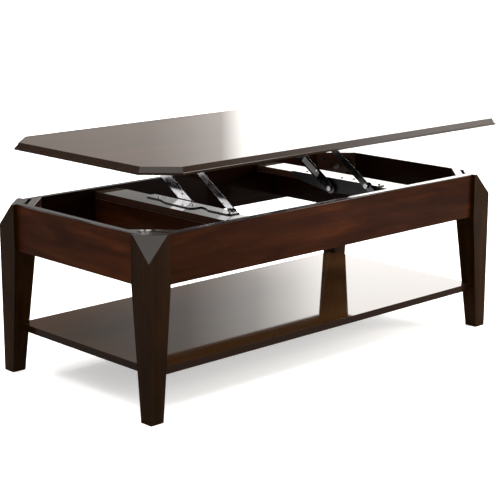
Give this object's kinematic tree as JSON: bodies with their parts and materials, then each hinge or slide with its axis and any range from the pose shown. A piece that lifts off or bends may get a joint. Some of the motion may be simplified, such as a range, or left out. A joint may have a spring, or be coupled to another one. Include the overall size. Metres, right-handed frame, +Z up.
{
  "type": "lift top coffee table",
  "caption": "Rectangular coffee table with clipped corners, tapered square legs and a lower shelf, whose top rises and comes forward on parallel steel links.",
  "frame": {"origin": "on the floor, under the centre of the whole table's box with the top raised", "axes": "+Z up, +X along the long side, -Y towards the side the top comes forward to"},
  "size_m": [1.22, 0.628, 0.585],
  "materials": {
    "rail_veneer": "satin red-brown veneer",
    "leg_lacquer": "satin dark brown lacquer",
    "top_lacquer": "high-gloss dark brown lacquer",
    "inner_lacquer": "high-gloss dark brown lacquer",
    "dowel_wood": "plain beech",
    "link_steel": "bright zinc plate",
    "black_steel": "gloss black paint",
    "zinc": "zinc plate",
    "bumper_rubber": "matt black"
  },
  "bodies": {
    "frame": {"leg_front_left": "leg_lacquer", "leg_front_right": "leg_lacquer", "leg_back_left": "leg_lacquer", "leg_back_right": "leg_lacquer", "rail_front": "rail_veneer", "rail_back": "rail_veneer", "rail_left": "rail_veneer", "rail_right": "rail_veneer", "brace_front_left": "inner_lacquer", "brace_front_right": "inner_lacquer", "brace_back_left": "inner_lacquer", "brace_back_right": "inner_lacquer", "beam_board_left": "inner_lacquer", "beam_board_right": "inner_lacquer", "beam_panel_left": "rail_veneer", "beam_panel_right": "rail_veneer", "shelf": "top_lacquer", "rail_dowels": "dowel_wood", "beam_dowels": "dowel_wood", "shelf_dowels": "dowel_wood", "hanger_bolts": "zinc", "hanger_washers": "zinc", "hanger_nuts": "zinc", "brace_screws": "zinc", "base_bracket_left": "black_steel", "base_bracket_right": "black_steel", "base_pins_left": "zinc", "base_pins_right": "zinc", "base_spacers": "zinc", "stop_pins": "zinc", "base_screws": "zinc"},
    "link_rear_right": {"link_rear_right": "link_steel"},
    "top": {"top": "top_lacquer", "top_bracket_left": "black_steel", "top_bracket_right": "black_steel", "top_pins_left": "zinc", "top_pins_right": "zinc", "top_spacers": "zinc", "top_screws": "zinc", "bumpers": "bumper_rubber"},
    "link_rear_left": {"link_rear_left": "link_steel"},
    "link_front_right": {"link_front_right": "link_steel"},
    "link_front_left": {"link_front_left": "link_steel"}
  },
  "joints": [
    {"name": "lift", "type": "hinge", "parent": "frame", "child": "link_rear_right", "pos_m": [0.236, -0.008, 0.396], "axis": [1, 0, 0], "range_deg": [-33.85, 0]},
    {"name": "top_level", "type": "hinge", "parent": "link_rear_right", "child": "top", "pos_m": [0.236, 0.19771, 0.534], "axis": [1, 0, 0], "range_deg": [0, 33.87]},
    {"name": "rear_left_follow", "type": "hinge", "parent": "frame", "child": "link_rear_left", "pos_m": [-0.236, -0.008, 0.396], "axis": [1, 0, 0], "range_deg": [-33.87, 0]},
    {"name": "front_right_follow", "type": "hinge", "parent": "frame", "child": "link_front_right", "pos_m": [0.236, -0.138, 0.42], "axis": [1, 0, 0], "range_deg": [-33.87, 0]},
    {"name": "front_left_follow", "type": "hinge", "parent": "frame", "child": "link_front_left", "pos_m": [-0.236, -0.138, 0.42], "axis": [1, 0, 0], "range_deg": [-33.87, 0]}
  ],
  "couplings": [
    {"joint": "top_level", "follows": "lift", "ratio": -1},
    {"joint": "rear_left_follow", "follows": "lift", "ratio": 1},
    {"joint": "front_right_follow", "follows": "lift", "ratio": 1},
    {"joint": "front_left_follow", "follows": "lift", "ratio": 1}
  ]
}
